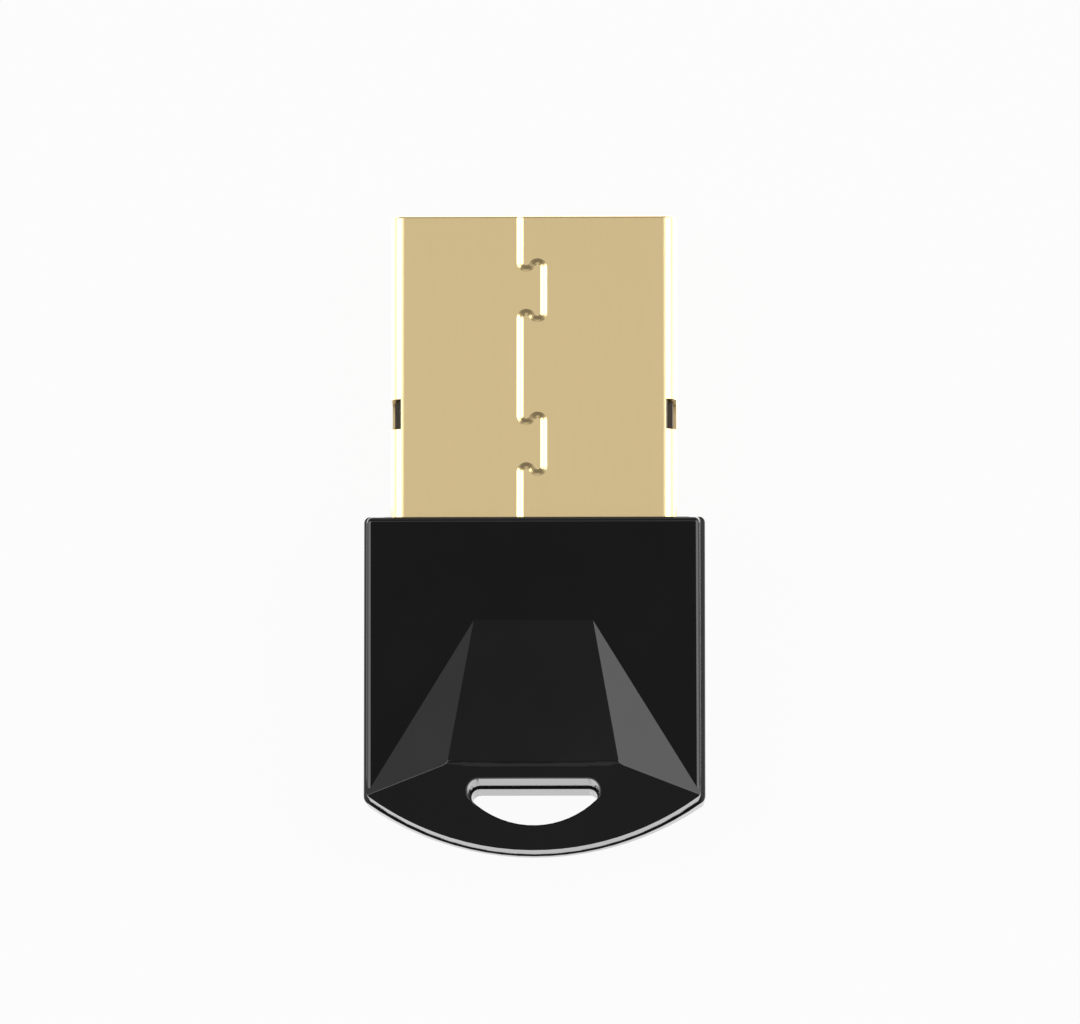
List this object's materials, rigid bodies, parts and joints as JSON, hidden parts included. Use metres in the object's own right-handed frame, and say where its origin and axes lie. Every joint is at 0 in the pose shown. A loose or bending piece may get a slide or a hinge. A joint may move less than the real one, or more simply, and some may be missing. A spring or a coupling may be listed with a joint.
{
  "type": "usb wireless adapter",
  "caption": "Small plug-in wireless adapter: a folded metal A plug, and a glossy two-part housing with a faceted finger grip and a lanyard hole.",
  "frame": {"origin": "plug's centre line where it leaves the body, on the shoulder of the covers", "axes": "+Y along the plug towards its mouth, +Z out of the front cover's face, +X across the plug"},
  "size_m": [0.0144, 0.0269, 0.0065],
  "materials": {
    "cover_plastic": "polished black moulding",
    "plug_metal": "satin, warm gold tint",
    "carrier_plastic": "matte black moulding",
    "contact_metal": "gold plated",
    "board_laminate": "solder mask over laminate",
    "trace_copper": "bare copper",
    "chip_package": "moulded epoxy",
    "crystal_can": "satin lid on ceramic",
    "part_ceramic": "fired ceramic with tinned ends",
    "solder": "bright solder"
  },
  "bodies": {
    "root": {"front_cover": "cover_plastic", "rear_cover": "cover_plastic", "plug_shell": "plug_metal", "contact_carrier": "carrier_plastic", "power_contact": "contact_metal", "data_minus_contact": "contact_metal", "data_plus_contact": "contact_metal", "ground_contact": "contact_metal", "circuit_board": "board_laminate", "antenna_trace": "trace_copper", "radio_chip": "chip_package", "memory_chip": "chip_package", "crystal": "crystal_can", "antenna_filter": "part_ceramic", "antenna_capacitor": "part_ceramic", "supply_capacitor": "part_ceramic", "ferrite_bead": "chip_package", "decoupling_capacitor_1": "part_ceramic", "decoupling_capacitor_2": "part_ceramic", "decoupling_capacitor_3": "part_ceramic", "decoupling_capacitor_4": "part_ceramic", "crystal_capacitor_1": "part_ceramic", "crystal_capacitor_2": "part_ceramic", "data_resistor_1": "chip_package", "data_resistor_2": "chip_package", "contact_solder": "solder", "shell_solder_left": "solder", "shell_solder_right": "solder"}
  },
  "joints": []
}
